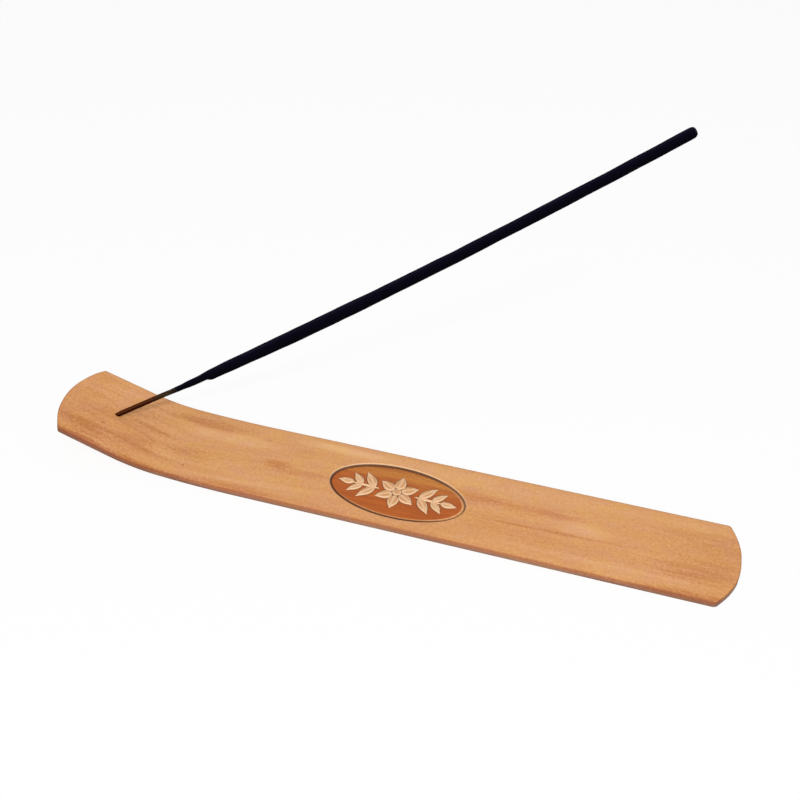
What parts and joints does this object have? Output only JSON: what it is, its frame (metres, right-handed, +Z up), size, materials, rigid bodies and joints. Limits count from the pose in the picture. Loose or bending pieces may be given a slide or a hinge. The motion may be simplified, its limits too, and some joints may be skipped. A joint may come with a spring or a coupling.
{
  "type": "incense stick holder",
  "caption": "Thin bent wooden strip with an upturned nose and a raking hole that holds a burning incense stick over the strip, which catches its ash.",
  "frame": {"origin": "under the middle of the strip's length, on the table plane that its flat underside rests on", "axes": "+X from the upturned nose to the flat end, +Y to the strip's rear edge, +Z up"},
  "size_m": [0.2529, 0.0364, 0.1537],
  "materials": {
    "board_wood": "sanded hardwood with a thin oil finish",
    "bamboo": "bare dark brown bamboo splint",
    "incense_paste": "dull black charcoal paste, hand rolled"
  },
  "bodies": {
    "holder": {"holder_board": "board_wood"},
    "stick": {"bamboo_core": "bamboo", "incense_coat": "incense_paste"}
  },
  "joints": [
    {"name": "stick_pull", "type": "slide", "parent": "holder", "child": "stick", "axis": [0.8251, 0, 0.565], "range_m": [0, 0.02]}
  ]
}
